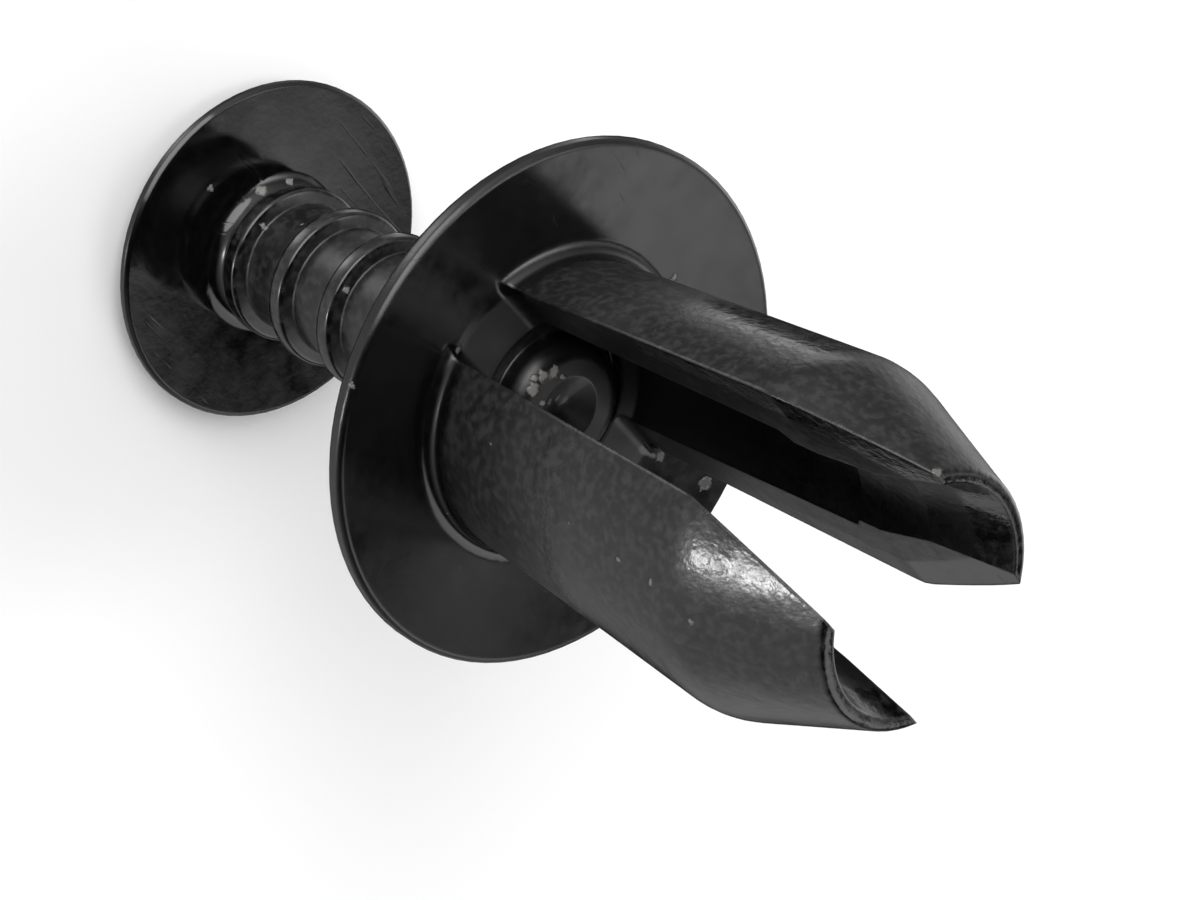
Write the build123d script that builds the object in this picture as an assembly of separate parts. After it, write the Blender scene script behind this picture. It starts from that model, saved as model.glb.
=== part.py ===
"""Two-piece plastic push rivet, with its pin drawn out.

Frame, in millimetres: the rivet stands on the flat crown of the pin's head, at z = 0, and +Z runs along
the rivet from that head to the ends of the legs. The legs lie on +X and -X, and the slots between them
open on +Y and -Y. Heights "above the rim" are measured from the plane of the flange's rim, which lies on
the panel in use. Heights "from the head" are measured from the plane of the head's inner edge.
"""

import os

from build123d import *

# ---- rivet body: flange ----
flange_radius = 7.0
flange_rim = 0.5            # thickness of the flange's edge
flange_dish = 0.45          # how far the panel side is hollowed where it meets the barrel
flange_web = 0.75           # thickness of the flange's middle
flange_edge_break = 0.12    # chamfers on the flange's edge

# ---- rivet body: barrel and legs ----
barrel_radius = 3.9         # at the flange, for an 8 mm hole
barrel_root_round = 0.35
shoulder_swell = 0.7        # gain of radius up to the shoulder, which snaps in behind the panel
shoulder_height = 9.15      # above the rim
shoulder_round = 2.2
nose_length = 3.75          # from the shoulder to the ends of the legs
nose_taper = 1.4            # loss of radius along the nose
leg_end_round = 0.2
root_gap = 2.2              # between the legs, at the flange
root_gap_round = 0.3
barrel_gap_gain = 0.7       # how much wider the gap is at the shoulder
nose_gap_gain = 1.2         # how much wider again it is at the ends of the legs
relief_depth = 0.32         # thinning of the legs inside, so that they spread
relief_stop = 0.75          # from the end of the thinning to the shoulder
relief_taper = 0.3          # height over which the thinning starts and ends
end_flare = 0.6             # gain of the bore's radius at the legs' ends
end_flare_height = 2.2

# ---- push pin ----
head_radius = 4.85
head_rim = 0.35             # thickness of the head's edge
head_crown = 0.55           # how far the crown stands out behind the edge
crown_radius = 3.4          # flat of the crown
crown_round = 1.2
head_dish = 0.12            # how far the inner face is hollowed at the shank
head_edge_break = 0.1       # chamfers on the head's edge
core_radius = 1.8
shank_root_round = 0.5
rib_height = 0.4            # of a rib's crest above the core
rib_count = 6
rib_pitch = 2.15
first_rib = 0.75            # start of the first rib's crest, from the head
rib_back = 0.12             # height of the steep flank towards the head
rib_crest = 0.22
rib_ramp = 0.32             # height of the flank towards the pin's end
tip_length = 0.8            # plain end after the last rib
tip_round = 0.45
tip_recess_share = 0.5      # radius of the hollow in the pin's end, of the core's radius
tip_recess_depth = 0.4
draw = 12.65                # from the head to the flange's rim, with the pin drawn out

# ---- fits ----
rib_clearance = 0.08        # ribs in the bore
mouth_chamfer = 0.3         # room for the rounding at the root of the shank
seat_gap = 0.02             # between the head and the flange with the pin home
seat_margin = 0.12          # flat of the flange's back beyond the head

# ---- places that follow from the sizes ----
head_z = head_crown + head_rim
rim_z = head_z + draw
root_z = rim_z - flange_dish
back_z = root_z - flange_web
stroke = back_z - head_z - seat_gap
shoulder_z = rim_z + shoulder_height
shoulder_radius = barrel_radius + shoulder_swell
end_z = shoulder_z + nose_length
end_radius = shoulder_radius - nose_taper
shoulder_gap = root_gap + barrel_gap_gain
end_gap = shoulder_gap + nose_gap_gain
rib_radius = core_radius + rib_height
bore_radius = rib_radius + rib_clearance
relief_radius = bore_radius + relief_depth
relief_z = shoulder_z - relief_stop
last_crest_z = head_z + first_rib + (rib_count - 1) * rib_pitch
tip_z = last_crest_z + rib_crest + rib_ramp + tip_length


def turned(outline, rounds=None, breaks=None):
    """Solid of revolution about Z from (radius, height) points.

    rounds maps a point to the radius of its rounding, and breaks maps one to the length of its chamfer.
    """
    face = make_face(Polyline(*outline, close=True))
    for ease, corners in ((fillet, rounds), (chamfer, breaks)):
        for point, size in (corners or {}).items():
            corner = face.vertices().sort_by_distance((*point, 0))[0]
            face = ease(corner, size)
    return revolve(Plane.XZ * face, Axis.Z)


def flange_outline():
    """Flange from the axis round its rim to the foot of the barrel, as (radius, height) points."""
    seat_radius = head_radius + seat_margin
    return [
        (0, back_z),
        (seat_radius, back_z),
        (flange_radius, rim_z - flange_rim),
        (flange_radius, rim_z),
        (barrel_radius, root_z),
    ]


def flange_breaks():
    """Chamfers of the flange's two edges."""
    rim_back, rim_front = flange_outline()[2:4]
    return {rim_back: flange_edge_break, rim_front: flange_edge_break}


def flange():
    return turned([*flange_outline(), (0, root_z)], breaks=flange_breaks())


def body_outside():
    """Flange, barrel and nose as one turned blank."""
    root = flange_outline()[-1]
    shoulder = (shoulder_radius, shoulder_z)
    leg_end = (end_radius, end_z)
    outline = [*flange_outline(), shoulder, leg_end, (0, end_z)]
    rounds = {root: barrel_root_round, shoulder: shoulder_round, leg_end: leg_end_round}
    return turned(outline, rounds, flange_breaks())


def body_bore():
    """Room for the pin: guide in the flange, thinned stretch of the legs, guide in the nose."""
    outline = [
        (0, back_z),
        (bore_radius + mouth_chamfer, back_z),
        (bore_radius, back_z + mouth_chamfer),
        (bore_radius, root_z),
        (relief_radius, root_z + relief_taper),
        (relief_radius, relief_z - relief_taper),
        (bore_radius, relief_z),
        (bore_radius, end_z - end_flare_height),
        (bore_radius + end_flare, end_z),
        (0, end_z),
    ]
    return turned(outline)


def body_slot():
    """The gap between the legs: nearly parallel along the barrel, flared through the nose."""
    right = [(root_gap / 2, root_z), (shoulder_gap / 2, shoulder_z), (end_gap / 2, end_z)]
    left = [(-x, z) for x, z in reversed(right)]
    face = make_face(Polyline(*right, *left, close=True))
    face = fillet(face.vertices().group_by(Axis.Y)[0], root_gap_round)
    return extrude(Plane.XZ * face, flange_radius, both=True)


def rivet_body():
    """The turned blank with its slots cut down to the flange, and its bore."""
    return body_outside() - (body_slot() - flange()) - body_bore()


def rib_outline(crest_z):
    """The four corners of one rib, from its foot on the head's side."""
    return [
        (core_radius, crest_z - rib_back),
        (rib_radius, crest_z),
        (rib_radius, crest_z + rib_crest),
        (core_radius, crest_z + rib_crest + rib_ramp),
    ]


def push_pin():
    """Crowned head and ribbed shank, turned as one piece."""
    crown = (crown_radius, 0)
    rim_back = (head_radius, head_crown)
    rim_front = (head_radius, head_z)
    shank_root = (core_radius, head_z - head_dish)
    tip = (core_radius, tip_z)
    outline = [(0, 0), crown, rim_back, rim_front, shank_root]
    for rib in range(rib_count):
        outline += rib_outline(head_z + first_rib + rib * rib_pitch)
    outline += [tip, (tip_recess_share * core_radius, tip_z), (0, tip_z - tip_recess_depth)]
    rounds = {
        crown: crown_round,
        shank_root: shank_root_round,
        tip: tip_round,
    }
    return turned(outline, rounds, {rim_back: head_edge_break, rim_front: head_edge_break})


nodes = {
    "rivet_body": rivet_body(),
    "push_pin": push_pin(),
}

os.makedirs("parts", exist_ok=True)
for name, solid in nodes.items():
    export_step(solid, f"parts/{name}.step")
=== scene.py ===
from math import cos, pi, radians, sin

import bmesh
import bpy
from mathutils import Matrix, Vector


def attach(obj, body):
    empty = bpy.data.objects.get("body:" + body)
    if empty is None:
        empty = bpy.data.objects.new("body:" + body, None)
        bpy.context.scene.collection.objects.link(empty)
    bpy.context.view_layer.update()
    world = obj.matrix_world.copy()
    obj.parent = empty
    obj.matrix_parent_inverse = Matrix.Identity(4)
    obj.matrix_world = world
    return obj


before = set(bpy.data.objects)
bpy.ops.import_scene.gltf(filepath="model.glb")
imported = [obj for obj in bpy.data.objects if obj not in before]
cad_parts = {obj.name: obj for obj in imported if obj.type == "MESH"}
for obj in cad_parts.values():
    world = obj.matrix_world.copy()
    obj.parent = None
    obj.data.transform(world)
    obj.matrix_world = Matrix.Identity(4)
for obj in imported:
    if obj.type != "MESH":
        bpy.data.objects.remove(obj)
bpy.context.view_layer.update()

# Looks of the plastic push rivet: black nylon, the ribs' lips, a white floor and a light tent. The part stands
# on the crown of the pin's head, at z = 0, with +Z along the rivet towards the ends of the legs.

MM = 0.001

# ---- camera: its place, and the directions of its right and its top ----
CAMERA_PLACE = Vector((-14.795, 60.775, 74.000)) * MM
CAMERA_RIGHT = Vector((0.60193, -0.47631, 0.64094))
CAMERA_UP = Vector((0.78094, 0.51873, -0.34792))
LENS = 103.874              # for a sensor 36 mm wide
SENSOR = 36.0
CLIP_START = 0.005          # metres

# ---- nylon: places, radii, depths and widths in millimetres ----
NYLON_BLACK = (0.002, 0.002, 0.0022, 1)
# pale grey of the dust, of the mottle and of the painted glints
DUST_AND_GLINT_GREY = (0.55, 0.53, 0.5, 1)
NYLON_IOR = 1.5

# pale marks that stand out, some dust specks and some painted glints where edges and corners catch the light:
# (centre, radius)
BODY_SPECKS_AND_GLINTS = [
    ((-3.43, 6.03, 13.48), 0.12),
    ((-0.86, 3.69, 13.11), 0.17),
    ((4.53, -0.61, 13.2), 0.17),
    ((-3.3, 3.01, 20.94), 0.14),
    ((-3.38, 3.05, 22.17), 0.13),
    ((-3.6, 2.46, 23.33), 0.12),
    ((2.13, 2.38, 26.37), 0.17),
    ((1.13, -4.27, 13.18), 0.18),
    ((1.46, -6.03, 13.44), 0.24),
]
# pale marks on the pin that stand out, some dust specks and some painted glints where its roundings catch the
# light: (centre, radius)
PIN_SPECKS_AND_GLINTS = [
    ((-0.02, 3.07, 0.83), 0.13),
    ((0.96, 1.71, 0.93), 0.22),
    ((1.69, 1.13, 0.88), 0.18),
    ((0.03, 1.87, 2.13), 0.15),
    ((-1.84, -1.12, 1.97), 0.13),
    ((-0.46, 1.87, 6.38), 0.17),
    # rough pale marks where the end was snapped off its runner, laid only along the crescent where the end's
    # rounded edge catches the light, so partly painted highlight
    ((-0.3, 1.42, 13.73), 0.24),
    ((-0.08, 1.62, 13.7), 0.16),
    ((0.12, 1.45, 13.74), 0.2),
    ((0.36, 1.25, 13.74), 0.24),
    ((0.48, 0.92, 13.74), 0.13),
    ((-0.38, 0.9, 13.72), 0.12),
    ((-0.2, 0.62, 13.64), 0.19),
    ((0.05, 0.35, 13.52), 0.14),
]
SPOT_SHARE = 0.85           # share of its listed radius that a spot has before noise pushes its edge about
SPOT_CORE = 0.5             # share of a spot's radius within which it is solid
RAGGED = 0.28               # how far noise pushes the edges of the specks and painted glints about
RAGGED_SCALE = 6.0
DUST = [                    # (cells for each millimetre, radius of a speck, share of the cells that hold one)
    (1.3, 0.045, 0.10),
    (0.7, 0.065, 0.05),
]
DUST_CORE = 0.6             # share of a speck's radius within which it is solid

# scuffs: fine lines along Y, in a few patches
SCUFF_STRETCH = (1.0, 0.05, 1.0)
SCUFF_SCALE = 1.6
SCUFF_WIDTH = 0.02          # in the noise's value
PATCH_SCALE = 0.45
PATCH_START = (0.6, 0.68)   # values of the patches' noise at which they start and are full

# where the finish changes
GLOSSY_WANDER = 2.0         # how far noise shifts the start of the glossy area
GLOSSY_START = (0.6, 1.6)   # added to glossy_from, because the noise shifts the start down by half its reach
FOOT_BLEND = 0.25           # height over which the finish of the barrel or shank sets in
DULL_END = (19.5, 16.5)     # heights above which it is polished and below which it is dull
CREST_BLEND = 0.12
INNER_RADIUS = 3.75         # the legs' dull inner faces lie within this radius, which shrinks along the nose
INNER_BLEND = 0.2
INNER_START = (13.0, 13.12)
NOSE_START = 22.5
NOSE_SHRINK = 0.373         # for each millimetre of height

# noise: scales are features for each millimetre, and pairs are for the satin and the glossy areas
UNEVEN_SCALE = 1.3
UNEVEN_ROUGH = 0.25
MOTTLE_SCALE = 4.2
MOTTLE_ROUGH = (0.08, 0.25)
MOTTLE_START = (0.4, 0.7)   # values of the mottle's noise at which the pale patches start and are full
MOTTLE_PALE = (0.003, 0.026)    # off the outside of the barrel or shank, and on it
WAVE_SCALE = 0.8
WAVE_DEPTH = 0.05
WAVE_SHARE = (0.12, 0.7)
GRAIN_SCALE = 5.0
GRAIN_DEPTH = 0.014
GRAIN_SHARE = (0.1, 1.0)
SCUFF_DEPTH = -0.002
SCUFF_ROUGH = 0.12
SPECK_AND_GLINT_DEPTH = 0.02
DULL_ROUGH = 0.25
BEVEL_SAMPLES = 8

# ---- lips of the pin's ribs, in millimetres ----
RIB_CRESTS = [1.65, 3.8, 5.95, 8.1, 10.25, 12.4]     # where each rib's crest starts
RIB_FOOT_RADIUS = 1.8
RIB_CREST_RADIUS = 2.2
RIB_LIP = [                 # (radius, height above the start of the crest), from the crest round to the core
    (RIB_CREST_RADIUS - 0.2, 0.02),
    (RIB_CREST_RADIUS, 0.02),
    (RIB_CREST_RADIUS, 0.36),
    (RIB_CREST_RADIUS - 0.02, 0.41),
    (RIB_CREST_RADIUS - 0.07, 0.44),
    (RIB_FOOT_RADIUS + 0.07, 0.5),
    (RIB_FOOT_RADIUS - 0.05, 0.54),
    (RIB_FOOT_RADIUS - 0.05, 0.4),
]
LIP_SEGMENTS = 120
LIP_SHARP = radians(40)     # edges that turn more than this stay sharp

# ---- floor and lamps ----
FLOOR_HALF = 1.5            # metres
FLOOR_WHITE = 0.93
FLOOR_ROUGH = 0.9
KEY_TOWARD = Vector((0.14, 0.8, 0.58))
KEY_SPREAD = radians(50)    # the angle it fills, seen from the rivet
KEY_STRENGTH = 2.4
TENT_LEVEL = 0.35           # even light of the tent's walls
# soft patches that add light to the tent or take it away: the way towards each, how tightly it is gathered, and
# its strength
TENT_PANELS = {
    "far_corner": ((0.38, -0.62, 0.68), 70, 1.5),
    "top_lamp": ((0.42, -0.17, 0.89), 38, 5.9),
    "far_dark": ((0.13, -0.96, 0.23), 1.2, -1.75),
    "far_low_wall": ((-0.44, -0.88, -0.16), 5.2, 1.2),
    "side_lamp": ((-0.77, 0.63, -0.03), 420, 35.0),
    "side_glow": ((-0.78, 0.62, -0.03), 40, 3.5),
    "camera_shade": ((-0.55, 0.35, 0.76), 9, -0.9),
    "side_wall": ((-0.96, 0.2, -0.2), 1.8, 0.95),
    "low_strip": ((0.66, -0.25, -0.71), 800, 1.7),
    "low_glow": ((0.79, -0.12, -0.60), 60, 1.2),
    "low_edge": ((0.25, 0.68, -0.69), 60, 4.0),
    "far_wall": ((0.62, -0.78, 0.03), 6.7, 2.9),
    "near_wall": ((0.57, 0.72, 0.39), 2.4, 1.3),
}
# flat round panel of the tent, with an edge
FAR_PANEL_TOWARD = (-0.19, -0.72, 0.66)
FAR_PANEL_REACH = radians(20.6)     # half the angle it fills
FAR_PANEL_EDGE = radians(3.5)       # half the width of its edge
FAR_PANEL_STRENGTH = 2.45


def add_node(tree, kind, inputs=None, output=0, **settings):
    """New shader node with its inputs linked or set. Gives one of its outputs."""
    node = tree.nodes.new("ShaderNode" + kind)
    for key, value in settings.items():
        setattr(node, key, value)
    for key, value in (inputs or {}).items():
        if isinstance(value, bpy.types.NodeSocket):
            tree.links.new(value, node.inputs[key])
        else:
            node.inputs[key].default_value = value
    return node.outputs[output]


def maths(tree, operation, first, *others):
    """One operation applied to the first value and each of the others in turn."""
    for other in others:
        first = add_node(tree, "Math", {0: first, 1: other}, operation=operation)
    return first


def vector_maths(tree, operation, first, second, output=0):
    return add_node(tree, "VectorMath", {0: first, 1: second}, output=output, operation=operation)


def new_material(name):
    material = bpy.data.materials.new(name)
    material.use_nodes = True
    return material, material.node_tree


def ramp(tree, value, low, high):
    """0 below low and 1 above high, or the other way round where low is the larger."""
    inputs = {"Value": value, "From Min": low, "From Max": high}
    return add_node(tree, "MapRange", inputs, interpolation_type="SMOOTHSTEP")


def blend(tree, factor, first, second):
    return add_node(tree, "Mix", {0: factor, 2: first, 3: second})


def noise(tree, place, scale, detail=2.0, output=0):
    """Noise from 0 to 1, with features of about 1 / scale millimetres."""
    inputs = {"Vector": place, "Scale": scale, "Detail": detail}
    return add_node(tree, "TexNoise", inputs, output=output)


def centred(tree, value):
    """Noise from 0 to 1, moved to lie about 0."""
    return maths(tree, "SUBTRACT", value, 0.5)


def scuff_lines(tree, place):
    stretched = vector_maths(tree, "MULTIPLY", place, SCUFF_STRETCH)
    swing = centred(tree, noise(tree, stretched, SCUFF_SCALE, 1.0))
    swing = add_node(tree, "Math", {0: swing}, operation="ABSOLUTE")
    patches = ramp(tree, noise(tree, place, PATCH_SCALE), *PATCH_START)
    return maths(tree, "MULTIPLY", ramp(tree, swing, SCUFF_WIDTH, 0.0), patches)


def dust(tree, place, scale, radius, share):
    """Specks of about the given radius in that share of the pattern's cells."""
    cells = {"Vector": place, "Scale": scale, "Randomness": 1.0}
    reach = add_node(tree, "TexVoronoi", cells, output="Distance")
    lot = add_node(tree, "TexVoronoi", cells, output="Color")
    chosen = maths(tree, "LESS_THAN", add_node(tree, "SeparateColor", {0: lot}), share)
    return maths(tree, "MULTIPLY", ramp(tree, reach, radius * scale, DUST_CORE * radius * scale), chosen)


def spot(tree, place, centre, radius):
    """Small round blot."""
    reach = vector_maths(tree, "DISTANCE", place, centre, output="Value")
    return ramp(tree, reach, radius, SPOT_CORE * radius)


def ragged_specks_and_glints(tree, place, specks_and_glints):
    """Dust, and the listed specks and painted glints, with ragged edges."""
    push = noise(tree, place, RAGGED_SCALE, 3.0, output="Color")
    inputs = {0: push, 1: (RAGGED, RAGGED, RAGGED), 2: place}
    ragged = add_node(tree, "VectorMath", inputs, operation="MULTIPLY_ADD")
    mean_push = Vector((RAGGED / 2, RAGGED / 2, RAGGED / 2))
    masks = [dust(tree, ragged, *size) for size in DUST]
    for centre, radius in specks_and_glints:
        masks.append(spot(tree, ragged, Vector(centre) + mean_push, SPOT_SHARE * radius))
    return maths(tree, "MAXIMUM", *masks)


def finish_areas(tree, place, uneven, glossy_from, foot, crest):
    """Masks of the glossy area, of the dull faces, and of the outside of the barrel or shank."""
    height = add_node(tree, "SeparateXYZ", {0: place}, output="Z")
    across = vector_maths(tree, "MULTIPLY", place, (1, 1, 0))
    across = add_node(tree, "VectorMath", {0: across}, output="Value", operation="LENGTH")

    front = maths(tree, "ADD", height, maths(tree, "MULTIPLY", uneven, GLOSSY_WANDER))
    glossy_start, glossy_full = GLOSSY_START
    glossy = ramp(tree, front, glossy_from + glossy_start, glossy_from + glossy_full)

    along_nose = maths(tree, "MAXIMUM", maths(tree, "SUBTRACT", height, NOSE_START), 0.0)
    reach = maths(tree, "ADD", across, maths(tree, "MULTIPLY", along_nose, NOSE_SHRINK))
    inner = ramp(tree, reach, INNER_RADIUS, INNER_RADIUS - INNER_BLEND)
    inner = maths(tree, "MULTIPLY", inner, ramp(tree, height, *INNER_START))

    barrel = ramp(tree, height, foot, foot + FOOT_BLEND)
    within_crest = ramp(tree, across, crest, crest - CREST_BLEND)
    dull = maths(tree, "MULTIPLY", barrel, ramp(tree, height, *DULL_END), within_crest)
    outside = maths(tree, "MULTIPLY", barrel, maths(tree, "SUBTRACT", 1.0, inner))
    return glossy, maths(tree, "MAXIMUM", inner, dull), outside


def relief(tree, place, glossy, scuffs, specks_and_glints, edge):
    """Normal of the skin, with the edges rounded by a radius in millimetres."""
    wave = centred(tree, noise(tree, place, WAVE_SCALE, 1.0))
    wave = maths(tree, "MULTIPLY", wave, blend(tree, glossy, *WAVE_SHARE))
    grain = centred(tree, noise(tree, place, GRAIN_SCALE, 3.0))
    grain = maths(tree, "MULTIPLY", grain, blend(tree, glossy, *GRAIN_SHARE))
    skin = add_node(tree, "Bevel", {"Radius": edge * MM}, samples=BEVEL_SAMPLES)
    layers = [(wave, WAVE_DEPTH), (grain, GRAIN_DEPTH), (scuffs, SCUFF_DEPTH), (specks_and_glints, SPECK_AND_GLINT_DEPTH)]
    for height, depth in layers:
        skin = add_node(tree, "Bump", {"Height": height, "Distance": depth * MM, "Normal": skin})
    return skin


def black_nylon(name, satin, gloss, glossy_from, edge, foot, crest, specks_and_glints, speck_and_glint_shade):
    """Black moulded nylon, finely mottled, lightly scuffed and a little dusty, with pale glints painted on some
    edges.

    satin and gloss are the roughness below and above the height glossy_from. The barrel or shank starts at the
    height foot, and its dull part lies within the radius crest. The last argument sets how pale the dust specks
    and the painted glints are.
    """
    material, tree = new_material(name)
    place = add_node(tree, "TexCoord", output="Object")
    place = add_node(tree, "VectorMath", {0: place, "Scale": 1 / MM}, operation="SCALE")
    uneven = noise(tree, place, UNEVEN_SCALE, 3.0)
    mottle = noise(tree, place, MOTTLE_SCALE, 3.0)
    scuffs = scuff_lines(tree, place)
    dust_and_glints = ragged_specks_and_glints(tree, place, specks_and_glints)
    glossy, dull, outside = finish_areas(tree, place, uneven, glossy_from, foot, crest)

    rough = maths(
        tree, "ADD",
        blend(tree, glossy, satin, gloss),
        maths(tree, "MULTIPLY", centred(tree, uneven), UNEVEN_ROUGH),
        maths(tree, "MULTIPLY", scuffs, SCUFF_ROUGH),
        maths(tree, "MULTIPLY", centred(tree, mottle), blend(tree, glossy, *MOTTLE_ROUGH)),
        maths(tree, "MULTIPLY", dull, DULL_ROUGH),
    )
    pale = maths(tree, "MULTIPLY", ramp(tree, mottle, *MOTTLE_START), blend(tree, outside, *MOTTLE_PALE))
    # pale dust, and pale painted glints from the listed specks, mixed into the colour
    pale = maths(tree, "ADD", pale, maths(tree, "MULTIPLY", dust_and_glints, speck_and_glint_shade))
    colour = add_node(tree, "Mix", {0: pale, 6: NYLON_BLACK, 7: DUST_AND_GLINT_GREY}, output=2, data_type="RGBA")

    shader = tree.nodes["Principled BSDF"]
    shader.inputs["IOR"].default_value = NYLON_IOR
    tree.links.new(colour, shader.inputs["Base Color"])
    tree.links.new(rough, shader.inputs["Roughness"])
    tree.links.new(relief(tree, place, glossy, scuffs, dust_and_glints, edge), shader.inputs["Normal"])
    return material


def paper_white():
    material, tree = new_material("floor_white")
    shader = tree.nodes["Principled BSDF"]
    shader.inputs["Base Color"].default_value = (FLOOR_WHITE, FLOOR_WHITE, FLOOR_WHITE, 1)
    shader.inputs["Roughness"].default_value = FLOOR_ROUGH
    shader.inputs["Specular IOR Level"].default_value = 0.0
    return material


def dress(node, material):
    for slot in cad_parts[node].material_slots:
        slot.material = material


def add_rib_lips(material):
    """Fuller front edge of each rib, turned round the pin's axis."""
    mesh = bmesh.new()
    for crest in RIB_CRESTS:
        rings = []
        for step in range(LIP_SEGMENTS):
            angle = 2 * pi * step / LIP_SEGMENTS
            rings.append([
                mesh.verts.new((radius * cos(angle) * MM, radius * sin(angle) * MM, (crest + rise) * MM))
                for radius, rise in RIB_LIP
            ])
        for step, ring in enumerate(rings):
            after = rings[(step + 1) % LIP_SEGMENTS]
            for corner in range(len(ring)):
                beyond = (corner + 1) % len(ring)
                mesh.faces.new((ring[corner], after[corner], after[beyond], ring[beyond])).smooth = True
    bmesh.ops.recalc_face_normals(mesh, faces=mesh.faces)
    data = bpy.data.meshes.new("rib_lips")
    mesh.to_mesh(data)
    mesh.free()
    data.set_sharp_from_angle(angle=LIP_SHARP)
    data.materials.append(material)
    lips = bpy.data.objects.new("rib_lips", data)
    bpy.context.scene.collection.objects.link(lips)
    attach(lips, "push_pin")


def add_floor():
    """White floor. Reflections pass through it and show the tent's lower half instead."""
    bpy.ops.mesh.primitive_plane_add(size=2 * FLOOR_HALF)
    floor = bpy.context.object
    floor.name = "floor"
    floor.data.materials.append(paper_white())
    floor.visible_glossy = False


def add_camera():
    data = bpy.data.cameras.new("camera")
    data.sensor_width = SENSOR
    data.lens = LENS
    data.clip_start = CLIP_START
    camera = bpy.data.objects.new("camera", data)
    bpy.context.scene.collection.objects.link(camera)
    back = CAMERA_RIGHT.cross(CAMERA_UP)
    turn = Matrix((CAMERA_RIGHT, CAMERA_UP, back)).transposed()
    camera.matrix_world = Matrix.Translation(CAMERA_PLACE) @ turn.to_4x4()
    bpy.context.scene.camera = camera


def add_key():
    """Round soft lamp, far off, that gives the floor its shadow."""
    data = bpy.data.lights.new("key", "SUN")
    data.angle = KEY_SPREAD
    data.energy = KEY_STRENGTH
    lamp = bpy.data.objects.new("key", data)
    bpy.context.scene.collection.objects.link(lamp)
    lamp.rotation_euler = KEY_TOWARD.to_track_quat("Z", "Y").to_euler()


def nearness(tree, sight, toward):
    """1 where the line of sight is straight towards a direction, and less away from it."""
    return vector_maths(tree, "DOT_PRODUCT", sight, Vector(toward).normalized(), output="Value")


def add_tent():
    """World like the inside of a light tent. Seen directly, it is plain white."""
    world = bpy.data.worlds.new("tent")
    bpy.context.scene.world = world
    world.use_nodes = True
    world.cycles.sampling_method = "NONE"
    tree = world.node_tree
    sight = add_node(tree, "TexCoord", output="Generated")
    level = TENT_LEVEL
    for toward, gathered, strength in TENT_PANELS.values():
        falloff = maths(tree, "SUBTRACT", nearness(tree, sight, toward), 1.0)
        falloff = maths(tree, "MULTIPLY", falloff, gathered)
        glow = add_node(tree, "Math", {0: falloff}, operation="EXPONENT")
        level = maths(tree, "ADD", maths(tree, "MULTIPLY", glow, strength), level)
    outer_rim = cos(FAR_PANEL_REACH + FAR_PANEL_EDGE)
    inner_rim = cos(FAR_PANEL_REACH - FAR_PANEL_EDGE)
    panel = ramp(tree, nearness(tree, sight, FAR_PANEL_TOWARD), outer_rim, inner_rim)
    level = maths(tree, "ADD", level, maths(tree, "MULTIPLY", panel, FAR_PANEL_STRENGTH))
    level = maths(tree, "MAXIMUM", level, 0.0)
    seen = add_node(tree, "LightPath", output="Is Camera Ray")
    background = tree.nodes["Background"]
    background.inputs["Color"].default_value = (1, 1, 1, 1)
    tree.links.new(blend(tree, seen, level, 1.0), background.inputs["Strength"])


body_nylon = black_nylon(
    "body_nylon", satin=0.2, gloss=0.16, glossy_from=17.3, edge=0.14, foot=13.55, crest=20.0,
    specks_and_glints=BODY_SPECKS_AND_GLINTS, speck_and_glint_shade=0.17,
)
pin_nylon = black_nylon(
    "pin_nylon", satin=0.12, gloss=0.12, glossy_from=30.0, edge=0.07, foot=1.0, crest=2.15,
    specks_and_glints=PIN_SPECKS_AND_GLINTS, speck_and_glint_shade=0.32,
)
dress("rivet_body", body_nylon)
dress("push_pin", pin_nylon)
add_rib_lips(pin_nylon)
add_floor()
add_camera()
add_key()
add_tent()

bpy.context.scene.view_settings.view_transform = "Standard"
